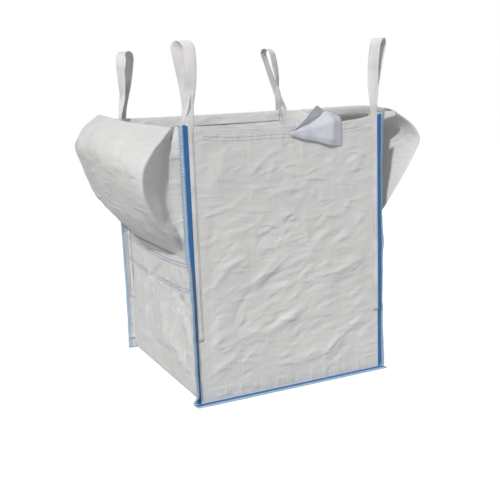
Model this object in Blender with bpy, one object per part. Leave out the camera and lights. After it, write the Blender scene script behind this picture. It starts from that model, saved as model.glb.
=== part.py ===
"""Bulk bag of woven cloth: a U-shaped body panel, sewn-in front and back panels, two bulging side
extensions, four corner lifting loops and a document pouch.

Metres, +Z up. The origin is on the floor at the centre of the base, and the front faces -Y.
Every cloth piece is drawn as its outer face and thickened inwards.
"""

import math

import bpy
import numpy as np

# Body
BAG_WIDTH = 0.900
BAG_DEPTH = 0.900
BAG_HEIGHT = 1.180
RIM_SAG = 0.030
RIM_SAG_POWER = 5
BASE_FOLD_RADIUS = 0.030

# Cloth, thread and the room left between touching pieces
CLOTH = 0.0020
GAP = 0.0003
THREAD = 0.0012
HEM_DEPTH = 0.055
HEM_ROW_EDGE = 0.005
HEM_ROW_STEP = 0.014

# Sewn edges that stand out of the bag
FIN = 0.030
FIN_FOOT = 0.055
OVERLOCK_REACH = 0.012
CHAIN_OFFSET = 0.0055
CHAIN_WIDTH = 0.0025

# Lap between the body panel and the side extensions
LAP_TOP = 0.612
LAP_DEPTH = 0.137
LAP_ROW_EDGE = 0.012
LAP_ROW_STEP = 0.008

# Webbing
WEB_WIDTH = 0.048
WEB_THICK = 0.0025
WEB_EDGE = 0.002
WEB_LENGTH = 0.900
LOOP_HEIGHT = 0.310
LOOP_FOOT_GAP = 0.009
LOOP_CLEARANCE = 0.008

# Document pouch on the front rim
POUCH_CENTRE = 0.135
POUCH_WIDTH = 0.230
POUCH_CURL = 0.036
POUCH_DROP = 0.105
POUCH_RISE = 0.014
POUCH_TAIL = 0.026
POUCH_HINGE_RISE = 0.010

# Planes that the pieces share
WALL_X = BAG_WIDTH / 2
PANEL_Y = BAG_DEPTH / 2
LAYER = CLOTH + GAP
EXTENSION_X = WALL_X - LAYER
EXTENSION_FIN_Y = PANEL_Y - LAYER - CLOTH
BODY_FIN_Y = EXTENSION_FIN_Y - LAYER
STRIP = WEB_EDGE + WEB_WIDTH + 0.012

# Side extension: one row for each level, from the lap to the hem.
# Level, level at mid depth, reach and place of the valley, of the crease, and of the belly.
# The levels are drawn for a side opening between these two heights, and stretch with the real one;
# the places are drawn for a corner strip this wide, and move with the real one.
DRAWN_LAP_TOP = 0.612
DRAWN_RIM = 1.180
DRAWN_STRIP = 0.062
LEFT_ROWS = (
    (0.618, 0.618, 0.000, 0.075, 0.000, 0.120, 0.000),
    (0.660, 0.655, 0.004, 0.078, 0.014, 0.100, 0.056),
    (0.720, 0.715, 0.024, 0.070, 0.064, 0.045, 0.128),
    (0.800, 0.800, 0.060, 0.055, 0.146, 0.005, 0.200),
    (0.910, 0.915, 0.085, 0.048, 0.205, -0.030, 0.258),
    (1.010, 1.020, 0.085, 0.048, 0.205, -0.035, 0.305),
    (1.080, 1.090, 0.065, 0.055, 0.152, -0.010, 0.330),
    (1.130, 1.160, 0.035, 0.070, 0.082, 0.040, 0.305),
    (1.165, 1.215, 0.014, 0.078, 0.035, 0.085, 0.225),
)
RIGHT_ROWS = (
    (0.618, 0.618, 0.000, 0.090, 0.000, 0.150, 0.000),
    (0.670, 0.660, 0.006, 0.092, 0.018, 0.110, 0.050),
    (0.730, 0.725, 0.034, 0.095, 0.058, 0.060, 0.110),
    (0.800, 0.800, 0.075, 0.100, 0.098, 0.020, 0.175),
    (0.890, 0.895, 0.105, 0.102, 0.165, 0.000, 0.240),
    (0.990, 1.000, 0.122, 0.098, 0.235, -0.010, 0.290),
    (1.055, 1.070, 0.135, 0.090, 0.262, -0.010, 0.312),
    (1.115, 1.135, 0.145, 0.085, 0.225, 0.010, 0.300),
    (1.178, 1.195, 0.070, 0.078, 0.140, 0.055, 0.235),
)
BACK_SHARES = {"left": 0.90, "right": 0.85}
SHOULDER_SHARE = 0.72
SHOULDER_ALONG = 0.42
ROW_STEPS = 2
COLUMN_STEPS = 3

# Fineness of the curved pieces, as numbers of points
PANEL_PLACES = 21
HEM_PLACES = 17
BASE_FOLD_PLACES = 6
LEG_PLACES = 9
ARC_PLACES = 13

# A loop leans more and more towards its top, as the height share to this power
LEAN_POWER = 1.3

# Lifting loops: side and face of the bag, lean along X and Y, turn of the eye, and width of the eye
LOOPS = {
    "front_left": (-1, -1, -0.038, -0.006, -60.0, 0.080),
    "front_right": (1, -1, 0.050, 0.004, -55.0, 0.070),
    "back_left": (-1, 1, 0.034, 0.004, 40.0, 0.068),
    "back_right": (1, 1, -0.048, 0.006, 24.0, 0.062),
}

WHITE = (0.62, 0.62, 0.60, 1.0)
SHADE = (0.50, 0.50, 0.52, 1.0)
BLUE = (0.045, 0.20, 0.52, 1.0)


def finish(name, colour, roughness):
    """A plain non-metal finish."""
    material = bpy.data.materials.new(name)
    material.use_nodes = True
    shader = material.node_tree.nodes["Principled BSDF"]
    shader.inputs["Base Color"].default_value = colour
    shader.inputs["Roughness"].default_value = roughness
    shader.inputs["Metallic"].default_value = 0.0
    return material


def add_mesh(name, points, faces, material, smooth=False):
    """One object from world points and faces."""
    mesh = bpy.data.meshes.new(name)
    mesh.from_pydata([tuple(p) for p in points], [], faces)
    mesh.validate()
    if smooth:
        mesh.shade_smooth()
    mesh.materials.append(material)
    thing = bpy.data.objects.new(name, mesh)
    bpy.context.scene.collection.objects.link(thing)
    return thing


def add_cloth(name, grid, material, thickness, offset, keep=None, smooth=True):
    """Cloth from a grid of points, thickened to one side (offset -1) or to both (0)."""
    rows, columns = grid.shape[:2]
    faces = []
    for row in range(rows - 1):
        for column in range(columns - 1):
            if keep is None or keep(row, column):
                corner = row * columns + column
                faces.append((corner, corner + 1, corner + columns + 1, corner + columns))
    used = sorted({index for face in faces for index in face})
    place = {index: order for order, index in enumerate(used)}
    faces = [tuple(place[index] for index in face) for face in faces]
    cloth = add_mesh(name, grid.reshape(-1, 3)[used], faces, material, smooth)
    solidify = cloth.modifiers.new("thickness", "SOLIDIFY")
    solidify.thickness = thickness
    solidify.offset = offset
    solidify.use_even_offset = True
    return cloth


def add_prism(name, outline, start, end, axis, material):
    """A closed outline carried along one axis. The outline is in the other two axes, in cyclic order."""
    count = len(outline)
    first = (axis + 1) % 3
    second = (axis + 2) % 3
    points = np.zeros((2 * count, 3))
    for half, level in enumerate((start, end)):
        points[half * count : (half + 1) * count, first] = [p[0] for p in outline]
        points[half * count : (half + 1) * count, second] = [p[1] for p in outline]
        points[half * count : (half + 1) * count, axis] = level
    area = sum(
        outline[i - 1][0] * outline[i][1] - outline[i][0] * outline[i - 1][1] for i in range(count)
    )
    turn = 1 if area > 0 else -1
    faces = [tuple(range(count))[::-turn], tuple(range(count, 2 * count))[::turn]]
    for i in range(count):
        j = (i + 1) % count
        faces.append((i, j, j + count, i + count)[::turn])
    return add_mesh(name, points, faces, material)


def box_outline(low, high):
    """Rectangle between two corners."""
    return [(low[0], low[1]), (high[0], low[1]), (high[0], high[1]), (low[0], high[1])]


def ordered(low, high):
    """The two numbers in rising order."""
    return (low, high) if low < high else (high, low)


def rim_height(x):
    """Height of the front and back rims, which sag between the corners."""
    share = np.clip(np.abs(x) / WALL_X, 0.0, 1.0)
    return BAG_HEIGHT - RIM_SAG * (1.0 - share**RIM_SAG_POWER)


def smooth_line(points, steps):
    """Catmull-Rom curve through rows of points, with the same number of steps in each span."""
    points = np.asarray(points, dtype=float)
    padded = np.concatenate([2 * points[:1] - points[1:2], points, 2 * points[-1:] - points[-2:-1]])
    pieces = []
    for span in range(len(points) - 1):
        a, b, c, d = padded[span : span + 4]
        for step in range(steps):
            t = step / steps
            pieces.append(
                0.5 * (2 * b + (c - a) * t + (2 * a - 5 * b + 4 * c - d) * t**2
                       + (3 * b - a - 3 * c + d) * t**3)
            )
    pieces.append(points[-1])
    return np.array(pieces)


def end_panel(name, face, material):
    """Front or back panel: foot turned out over the base, flat sheet past both corners, hem turned in."""
    inner = WALL_X - WEB_EDGE - WEB_WIDTH / 4
    places = np.concatenate(
        [[-WALL_X - FIN, -WALL_X], np.linspace(-inner, inner, PANEL_PLACES), [WALL_X, WALL_X + FIN]]
    )
    top = rim_height(places)
    foot = CLOTH + GAP + CLOTH
    fold = CLOTH + LAYER
    y = face * PANEL_Y
    rows = [
        (np.full_like(places, y + face * FIN), np.full_like(places, foot)),
        (np.full_like(places, y), np.full_like(places, foot)),
        (np.full_like(places, y), top),
        (np.full_like(places, y - face * fold), top),
        (np.full_like(places, y - face * fold), top - HEM_DEPTH),
    ]
    grid = np.stack([np.stack([places, row_y, row_z], axis=1) for row_y, row_z in rows])
    if face > 0:
        grid = grid[:, ::-1]
    last = len(places) - 3
    return add_cloth(
        name, grid, material, CLOTH, -1.0,
        keep=lambda row, column: row < 2 or 1 < column < last, smooth=False,
    )


def body_panel(material):
    """Left wall, base and right wall in one piece, with its sewn edges turned out."""
    turn = np.radians(np.linspace(0.0, 90.0, BASE_FOLD_PLACES))
    radius = BASE_FOLD_RADIUS
    curve_x = WALL_X - radius + radius * np.cos(turn)
    curve_z = radius - radius * np.sin(turn)
    half_x = np.concatenate([[WALL_X, WALL_X], curve_x])
    half_z = np.concatenate([[LAP_TOP, FIN_FOOT], curve_z])
    path_x = np.concatenate([-half_x, half_x[::-1]])
    path_z = np.concatenate([half_z, half_z[::-1]])
    side = np.sign(path_x)
    on_base = path_z < CLOTH / 2
    on_wall = path_z > FIN_FOOT - GAP
    edge = PANEL_Y + FIN
    out_x = path_x + np.where(on_wall, side * FIN, 0.0)
    out_y = np.where(on_base, edge, BODY_FIN_Y)
    wall_y = np.full_like(path_x, BODY_FIN_Y)
    lines = [(out_x, out_y), (path_x, wall_y), (path_x, -wall_y), (out_x, -out_y)]
    grid = np.stack([np.stack([x, y, path_z], axis=1) for x, y in lines])
    kept = on_wall | on_base

    def keep(row, column):
        return row == 1 or (kept[column] and kept[column + 1])

    return add_cloth("body_panel", grid, material, CLOTH, -1.0, keep=keep, smooth=False)


def opening_level(drawn):
    """Height of a drawn level in the side opening, between the top of the lap and the rim."""
    return LAP_TOP + (drawn - DRAWN_LAP_TOP) * (BAG_HEIGHT - LAP_TOP) / (DRAWN_RIM - DRAWN_LAP_TOP)


def extension_row(side, share, level, middle, valley, valley_y, crease, crease_y, belly):
    """Points across a side extension at one level, from the front strip to the back strip."""
    half = BAG_DEPTH / 2
    valley_y += STRIP - DRAWN_STRIP
    crease_y += STRIP - DRAWN_STRIP
    shoulder = crease + (belly - crease) * SHOULDER_SHARE
    shoulder_y = crease_y + (half - crease_y) * SHOULDER_ALONG
    between = 0.5 * (level + middle)
    far_crease_y = STRIP + (crease_y - STRIP) * share
    front = [
        (0.0, STRIP, level),
        (valley, valley_y, level),
        (crease, crease_y, level),
        (shoulder, shoulder_y, between),
        (belly, half, middle),
    ]
    back = [
        (share * shoulder, BAG_DEPTH - shoulder_y, between),
        (share * crease, BAG_DEPTH - far_crease_y, level),
        (share * valley, BAG_DEPTH - valley_y, level),
        (0.0, BAG_DEPTH - STRIP, level),
    ]
    return [(side * (EXTENSION_X + reach), depth - half, height) for reach, depth, height in front + back]


def side_extension(label, side, rows, material):
    """Upper side panel: flat in the lap and beside the corner seams, bulging out between them."""
    bottom = LAP_TOP - LAP_DEPTH
    share = BACK_SHARES[label]
    flat = extension_row(side, share, bottom, bottom, *rows[0][2:])
    net = np.array([
        extension_row(side, share, opening_level(level), opening_level(middle), *places)
        for level, middle, *places in rows
    ])
    across = np.array([smooth_line(line, COLUMN_STEPS) for line in net])
    surface = smooth_line(across.reshape(len(rows), -1), ROW_STEPS).reshape(-1, across.shape[1], 3)
    surface = np.concatenate([[smooth_line(flat, COLUMN_STEPS)], surface])
    level = surface[:, :1, 2]
    last = surface[:, -1:, 2]
    root = EXTENSION_FIN_Y
    x = side * EXTENSION_X
    grid = np.zeros((surface.shape[0], surface.shape[1] + 4, 3))
    grid[:, 2:-2] = surface
    for column, place, depth, height in (
        (0, x + side * FIN, -root, level),
        (1, x, -root, level),
        (-2, x, root, last),
        (-1, x + side * FIN, root, last),
    ):
        grid[:, column, 0] = place
        grid[:, column, 1] = depth
        grid[:, column, 2] = height[:, 0]
    if side > 0:
        grid = grid[:, ::-1]
    return add_cloth(f"{label}_side_extension", grid[:, ::-1], material, CLOTH, -1.0)


def corner_thread(label, side, face, material):
    """Overlock round the fin's free edge, and the chain stitch near its root."""
    outer = WALL_X + FIN
    inner_y = BODY_FIN_Y - GAP
    outer_y = PANEL_Y + GAP
    low = 2 * CLOTH + 3 * GAP + THREAD
    high = BAG_HEIGHT - GAP
    channel = [
        (outer - OVERLOCK_REACH, outer_y + THREAD),
        (outer + GAP + THREAD, outer_y + THREAD),
        (outer + GAP + THREAD, inner_y - THREAD),
        (outer - OVERLOCK_REACH, inner_y - THREAD),
        (outer - OVERLOCK_REACH, inner_y),
        (outer + GAP, inner_y),
        (outer + GAP, outer_y),
        (outer - OVERLOCK_REACH, outer_y),
    ]
    outline = [(side * x, face * y) for x, y in channel]
    add_prism(f"{label}_overlock", outline, low, high, 2, material)
    start = WALL_X + CHAIN_OFFSET
    bead = box_outline(
        (side * start, face * outer_y), (side * (start + CHAIN_WIDTH), face * (outer_y + THREAD))
    )
    add_prism(f"{label}_chain_stitch", bead, low, high, 2, material)


def bottom_thread(label, face, material):
    """Overlock over the bottom fin's free edge, which clears the floor, and its chain stitch."""
    top = CLOTH + LAYER + GAP
    edge = PANEL_Y + FIN
    angle = [
        (edge + GAP, GAP),
        (edge + GAP + THREAD, GAP),
        (edge + GAP + THREAD, top + THREAD),
        (edge - OVERLOCK_REACH, top + THREAD),
        (edge - OVERLOCK_REACH, top),
        (edge + GAP, top),
    ]
    half = WALL_X + FIN - OVERLOCK_REACH - THREAD
    add_prism(f"{label}_overlock", [(face * y, z) for y, z in angle], -half, half, 0, material)
    start = PANEL_Y + CHAIN_OFFSET
    bead = box_outline((face * start, top), (face * (start + CHAIN_WIDTH), top + THREAD))
    add_prism(f"{label}_chain_stitch", bead, -half, half, 0, material)


def lap_rows(label, side, material):
    """Four rows of stitching that hold the lap: two near its top edge and two near its bottom edge."""
    levels = []
    for edge, direction in ((LAP_TOP - LAP_ROW_EDGE, -1), (LAP_TOP - LAP_DEPTH + LAP_ROW_EDGE, 1)):
        levels += [edge, edge + direction * LAP_ROW_STEP]
    half = PANEL_Y - STRIP
    near, far = ordered(side * (WALL_X + GAP), side * (WALL_X + GAP + THREAD))
    for number, level in enumerate(levels, start=1):
        outline = box_outline((near, -half), (far, half))
        add_prism(f"{label}_lap_stitch_{number}", outline, level, level + THREAD, 2, material)


def hem_rows(label, face, material):
    """Two rows of stitching that hold the hem, parallel to the sagging rim."""
    half = WALL_X - STRIP
    places = np.linspace(-half, half, HEM_PLACES)
    y = np.full_like(places, face * (PANEL_Y + GAP + THREAD))
    for number in (1, 2):
        low = rim_height(places) - HEM_DEPTH + HEM_ROW_EDGE + HEM_ROW_STEP * (2 - number)
        lines = [np.stack([places, y, level], axis=1) for level in (low, low + THREAD)]
        grid = np.stack(lines)
        if face > 0:
            grid = grid[:, ::-1]
        add_cloth(f"{label}_hem_stitch_{number}", grid, material, THREAD, -1.0, smooth=False)


def sewn_webbing(label, side, face, material):
    """The two ends of a loop's webbing, sewn down beside the corner: one on the panel, one on the side."""
    low = BAG_HEIGHT - WEB_LENGTH
    near = WALL_X - WEB_EDGE
    panel = box_outline(
        (side * near, face * (PANEL_Y + GAP)),
        (side * (near - WEB_WIDTH), face * (PANEL_Y + GAP + WEB_THICK)),
    )
    add_prism(f"{label}_webbing_on_panel", panel, low, BAG_HEIGHT, 2, material)
    back = BODY_FIN_Y - WEB_EDGE
    wall = box_outline(
        (side * (WALL_X + GAP), face * back),
        (side * (WALL_X + GAP + WEB_THICK), face * (back - WEB_WIDTH)),
    )
    add_prism(f"{label}_webbing_on_side", wall, low, BAG_HEIGHT, 2, material)


def lifting_loop(label, side, face, lean_x, lean_y, turn, eye, material):
    """Free part of the webbing: up, round the eye and down, turning as it rises."""
    radius = eye / 2
    foot = LOOP_FOOT_GAP / 2
    straight = LOOP_HEIGHT - radius
    share = np.linspace(0.0, 1.0, LEG_PLACES)
    leg_height = straight * share
    leg_half = foot + (radius - foot) * (3 * share**2 - 2 * share**3)
    arc = np.radians(np.linspace(0.0, 180.0, ARC_PLACES))[1:-1]
    half = np.concatenate([-leg_half, -radius * np.cos(arc), leg_half[::-1]])
    height = np.concatenate([leg_height, straight + radius * np.sin(arc), leg_height[::-1]])
    rise = height / LOOP_HEIGHT
    angle = math.radians(turn) * (3 * rise**2 - 2 * rise**3)
    base_x = side * (WALL_X - WEB_EDGE - WEB_WIDTH / 2)
    base_y = face * (PANEL_Y - LAYER)
    centre_x = base_x + lean_x * rise**LEAN_POWER - half * np.sin(angle)
    centre_y = base_y + lean_y * rise**LEAN_POWER + half * np.cos(angle)
    base_z = BAG_HEIGHT + LOOP_CLEARANCE
    edges = []
    for edge in (-WEB_WIDTH / 2, WEB_WIDTH / 2):
        x = centre_x + edge * np.cos(angle)
        y = centre_y + edge * np.sin(angle)
        edges.append(np.stack([x, y, base_z + height], axis=1))
    return add_cloth(f"{label}_loop", np.array(edges), material, WEB_THICK, 0.0)


def pouch(material, thread):
    """Document pouch: an edge sewn inside the hem, and the free part curled forward over the rim."""
    low = POUCH_CENTRE - POUCH_WIDTH / 2
    high = POUCH_CENTRE + POUCH_WIDTH / 2
    rim = float(rim_height(POUCH_CENTRE))
    inner = PANEL_Y - CLOTH - LAYER - GAP
    sewn = box_outline((-inner, rim - POUCH_TAIL), (-inner + CLOTH, rim - GAP))
    add_prism("pouch_sewn_edge", sewn, low, high, 0, material)
    row = rim - HEM_DEPTH / 2
    bead = box_outline((-inner + LAYER, row), (-inner + LAYER + THREAD, row + THREAD))
    add_prism("pouch_stitch", bead, low, high, 0, thread)
    hinge_y = -(PANEL_Y - LAYER)
    hinge_z = float(rim_height(high)) + POUCH_HINGE_RISE
    turn = np.radians(np.linspace(0.0, 180.0, ARC_PLACES))
    path_y = np.concatenate([[0.0], -POUCH_CURL + POUCH_CURL * np.cos(turn), [-2 * POUCH_CURL]])
    path_z = np.concatenate([[0.0], POUCH_RISE + POUCH_CURL * np.sin(turn), [POUCH_RISE - POUCH_DROP]])
    grid = np.zeros((2, len(path_y), 3))
    grid[0, :, 0] = high
    grid[1, :, 0] = low
    grid[:, :, 1] = hinge_y + path_y
    grid[:, :, 2] = hinge_z + path_z
    return add_cloth("document_pouch", grid, material, CLOTH, -1.0)


def build():
    """Everything, in the order in which the bag is sewn."""
    cloth = finish("woven_cloth", WHITE, 0.62)
    webbing = finish("webbing", WHITE, 0.70)
    thread = finish("blue_thread", BLUE, 0.55)
    grey_thread = finish("grey_thread", SHADE, 0.60)
    film = finish("pouch_film", WHITE, 0.40)
    body_panel(cloth)
    for label, side, rows in (("left", -1, LEFT_ROWS), ("right", 1, RIGHT_ROWS)):
        side_extension(label, side, rows, cloth)
        lap_rows(label, side, thread)
    for label, face in (("front", -1), ("back", 1)):
        end_panel(f"{label}_panel", face, cloth)
        hem_rows(label, face, grey_thread)
        bottom_thread(f"{label}_bottom", face, thread)
    for label, (side, face, *shape) in LOOPS.items():
        corner_thread(label, side, face, thread)
        sewn_webbing(label, side, face, webbing)
        lifting_loop(label, side, face, *shape, webbing)
    pouch(film, grey_thread)


for thing in list(bpy.data.objects):
    bpy.data.objects.remove(thing)
build()
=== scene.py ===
"""Looks of the woven bulk bag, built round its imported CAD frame."""

import bpy
import numpy as np
from mathutils import Matrix, Vector


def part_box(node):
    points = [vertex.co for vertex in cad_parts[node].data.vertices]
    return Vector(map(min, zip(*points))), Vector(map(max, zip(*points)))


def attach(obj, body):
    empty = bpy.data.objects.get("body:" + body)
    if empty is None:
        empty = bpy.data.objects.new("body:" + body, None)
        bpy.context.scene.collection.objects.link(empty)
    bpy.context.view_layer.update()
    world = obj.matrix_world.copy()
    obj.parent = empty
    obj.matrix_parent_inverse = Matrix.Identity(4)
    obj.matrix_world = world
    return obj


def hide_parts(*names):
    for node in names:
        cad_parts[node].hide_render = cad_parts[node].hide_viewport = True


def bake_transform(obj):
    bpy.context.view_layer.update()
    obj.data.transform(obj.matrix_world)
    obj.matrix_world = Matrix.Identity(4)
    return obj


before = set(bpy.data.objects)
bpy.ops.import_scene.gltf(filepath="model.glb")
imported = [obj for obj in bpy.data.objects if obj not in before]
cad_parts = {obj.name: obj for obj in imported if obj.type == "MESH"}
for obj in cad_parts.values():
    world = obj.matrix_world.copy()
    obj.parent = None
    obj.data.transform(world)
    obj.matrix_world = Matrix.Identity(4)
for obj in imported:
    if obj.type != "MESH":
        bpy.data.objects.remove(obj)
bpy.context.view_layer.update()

# ---------------------------------------------------------------------------
# Studio. A plain pale floor and white surround, one soft sun-like key from the left front, and a
# long-lens camera a little above the rim.
CAMERA_PLACE = (-1.6292, -3.4745, 1.3327)
CAMERA_YAW, CAMERA_PITCH, CAMERA_ROLL = np.radians((25.392, -11.677, -2.141))
CAMERA_LENS = 58.54
SENSOR = 36.0
KEY_AZIMUTH = np.radians(48.0)
KEY_HEIGHT = np.radians(38.0)
KEY_SOFTNESS = np.radians(3.0)
KEY_STRENGTH = 2.26
SKY_STRENGTH = 0.51
FLOOR_GLOW = 0.95


def linear(code, alpha=1.0):
    """sRGB hex to linear: a value under 0.04 is divided by 12.92, a higher one is raised to 2.4 after
    its offset."""
    parts = np.array([int(code[i : i + 2], 16) for i in (1, 3, 5)]) / 255.0
    parts = np.where(parts < 0.04045, parts / 12.92, ((parts + 0.055) / 1.055) ** 2.4)
    return (*[float(p) for p in parts], alpha)


def add_node(tree, kind, settings=None, inputs=None, links=None):
    """One shader node with its settings, its input values, and links from other nodes' outputs."""
    node = tree.nodes.new(kind)
    for key, value in (settings or {}).items():
        setattr(node, key, value)
    for key, value in (inputs or {}).items():
        node.inputs[key].default_value = value
    for key, source in (links or {}).items():
        tree.links.new(source, node.inputs[key])
    return node


def new_material(name, settings):
    """A material with its node tree and its Principled shader, whose inputs are set from a table."""
    material = bpy.data.materials.new(name)
    material.use_nodes = True
    shader = material.node_tree.nodes["Principled BSDF"]
    for key, value in settings.items():
        shader.inputs[key].default_value = value
    return material, material.node_tree, shader


def colour_between(tree, shader, source, dark, low, light, high):
    """Base colour from a source value: dark up to the low value, light from the high one, mixed between."""
    ramp = add_node(tree, "ShaderNodeValToRGB", links={0: source})
    for element, colour, position in zip(ramp.color_ramp.elements, (dark, light), (low, high)):
        element.color = linear(colour)
        element.position = position
    tree.links.new(ramp.outputs[0], shader.inputs["Base Color"])


def add_bump(tree, shader, source, strength, distance):
    """Bumps whose height is a source value times the distance."""
    bump = add_node(
        tree, "ShaderNodeBump", inputs={"Strength": strength, "Distance": distance}, links={"Height": source}
    )
    tree.links.new(bump.outputs[0], shader.inputs["Normal"])


def place_camera():
    """Camera axes from yaw about Z, pitch about the level axis, then roll about the line of sight."""
    ahead = Vector((
        np.sin(CAMERA_YAW) * np.cos(CAMERA_PITCH),
        np.cos(CAMERA_YAW) * np.cos(CAMERA_PITCH),
        np.sin(CAMERA_PITCH),
    ))
    level = Vector((np.cos(CAMERA_YAW), -np.sin(CAMERA_YAW), 0.0))
    upright = level.cross(ahead)
    across = level * np.cos(CAMERA_ROLL) + upright * np.sin(CAMERA_ROLL)
    upwards = upright * np.cos(CAMERA_ROLL) - level * np.sin(CAMERA_ROLL)
    data = bpy.data.cameras.new("camera")
    data.lens = CAMERA_LENS
    data.sensor_width = SENSOR
    camera = bpy.data.objects.new("camera", data)
    bpy.context.scene.collection.objects.link(camera)
    turn = Matrix((across, upwards, -ahead)).transposed().to_4x4()
    camera.matrix_world = Matrix.Translation(CAMERA_PLACE) @ turn
    bpy.context.scene.camera = camera


place_camera()

key_data = bpy.data.lights.new("key", "SUN")
key_data.energy = KEY_STRENGTH
key_data.angle = KEY_SOFTNESS
key_data.color = (1.0, 0.99, 0.975)
key = bpy.data.objects.new("key", key_data)
bpy.context.scene.collection.objects.link(key)
key_from = Vector((
    -np.sin(KEY_AZIMUTH) * np.cos(KEY_HEIGHT),
    -np.cos(KEY_AZIMUTH) * np.cos(KEY_HEIGHT),
    np.sin(KEY_HEIGHT),
))
key.rotation_euler = key_from.to_track_quat("Z", "Y").to_euler()

world = bpy.data.worlds.new("surround")
world.use_nodes = True
bpy.context.scene.world = world
world.node_tree.nodes.clear()
ray = add_node(world.node_tree, "ShaderNodeLightPath")
soft_sky = add_node(
    world.node_tree, "ShaderNodeBackground", inputs={"Color": linear("#F7F7F9"), "Strength": SKY_STRENGTH}
)
backdrop = add_node(
    world.node_tree, "ShaderNodeBackground", inputs={"Color": (1, 1, 1, 1), "Strength": 1.0}
)
both = add_node(
    world.node_tree,
    "ShaderNodeMixShader",
    links={0: ray.outputs["Is Camera Ray"], 1: soft_sky.outputs[0], 2: backdrop.outputs[0]},
)
add_node(world.node_tree, "ShaderNodeOutputWorld", links={"Surface": both.outputs[0]})
bpy.context.scene.view_settings.view_transform = "Standard"

floor_mesh = bpy.data.meshes.new("floor")
floor_mesh.from_pydata([(-9, -9, 0), (9, -9, 0), (9, 9, 0), (-9, 9, 0)], [], [(0, 1, 2, 3)])
floor_finish = bpy.data.materials.new("white_floor")
floor_finish.use_nodes = True
floor_tree = floor_finish.node_tree
floor_tree.nodes.clear()
# The floor looks white, with only a faint shadow on it, without throwing that much light up the walls.
pale = add_node(floor_tree, "ShaderNodeBsdfDiffuse", inputs={"Color": linear("#C4C4C4")})
glow = add_node(floor_tree, "ShaderNodeEmission", inputs={"Color": (1, 1, 1, 1), "Strength": FLOOR_GLOW})
seen = add_node(floor_tree, "ShaderNodeAddShader", links={0: pale.outputs[0], 1: glow.outputs[0]})
floor_ray = add_node(floor_tree, "ShaderNodeLightPath")
floor_look = add_node(
    floor_tree,
    "ShaderNodeMixShader",
    links={0: floor_ray.outputs["Is Camera Ray"], 1: pale.outputs[0], 2: seen.outputs[0]},
)
add_node(floor_tree, "ShaderNodeOutputMaterial", links={"Surface": floor_look.outputs[0]})
floor_mesh.materials.append(floor_finish)
floor = bpy.data.objects.new("floor", floor_mesh)
floor.location = (0.0, 0.0, -0.0005)
bpy.context.scene.collection.objects.link(floor)

# ---------------------------------------------------------------------------
# Body panel: one U of woven polypropylene cloth that makes the left wall, the base and the right
# wall. Its two long edges are turned out and sewn into the corner and bottom seams.
WALL_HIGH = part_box("body_panel")[1]
LAP_TOP = WALL_HIGH.z
FIN_REACH = 0.030
HALF = WALL_HIGH.x - FIN_REACH
BODY_LAYER_Y = 0.4434
FOLD_RADIUS = 0.030
FIN_FOOT = 0.055
FOOT_REACH = 0.0366
CLOTH = 0.0010
CLOTH_STEP = 0.0065
TAPE = 0.0060


def put_mesh(name, points, quads, material, uv=None, smooth=True):
    """One object from a table of points and a table of quads; points that no quad uses are left out."""
    used, quads = np.unique(quads, return_inverse=True)
    quads = quads.reshape(-1, 4)
    mesh = bpy.data.meshes.new(name)
    mesh.vertices.add(len(used))
    mesh.vertices.foreach_set("co", points.reshape(-1, 3)[used].astype(np.float32).ravel())
    mesh.loops.add(quads.size)
    mesh.loops.foreach_set("vertex_index", quads.astype(np.int32).ravel())
    mesh.polygons.add(len(quads))
    mesh.polygons.foreach_set("loop_start", np.arange(0, quads.size, 4, dtype=np.int32))
    mesh.update(calc_edges=True)
    if uv is not None:
        layer = mesh.uv_layers.new(name="cloth")
        layer.data.foreach_set("uv", uv.reshape(-1, 2)[used][quads.ravel()].astype(np.float32).ravel())
    if smooth:
        mesh.shade_smooth()
    mesh.materials.append(material)
    thing = bpy.data.objects.new(name, mesh)
    bpy.context.scene.collection.objects.link(thing)
    return thing


def grid_quads(rows, columns, start=0):
    """Quads of a grid of points counted row by row: a point, its right neighbour and the two above."""
    first = (np.arange(rows - 1)[:, None] * columns + np.arange(columns - 1)).ravel() + start
    return np.stack([first, first + 1, first + columns + 1, first + columns], axis=1)


def add_cloth(name, grid, uv, material, kept=None, thickness=CLOTH):
    """A cloth piece from a grid of points on its outer face, given its thickness inwards by Solidify."""
    quads = grid_quads(*grid.shape[:2])
    if kept is not None:
        quads = quads[kept.ravel()]
    cloth = put_mesh(name, grid, quads, material, uv)
    solid = cloth.modifiers.new("thickness", "SOLIDIFY")
    solid.thickness = thickness
    solid.offset = -1.0
    return cloth


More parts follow.
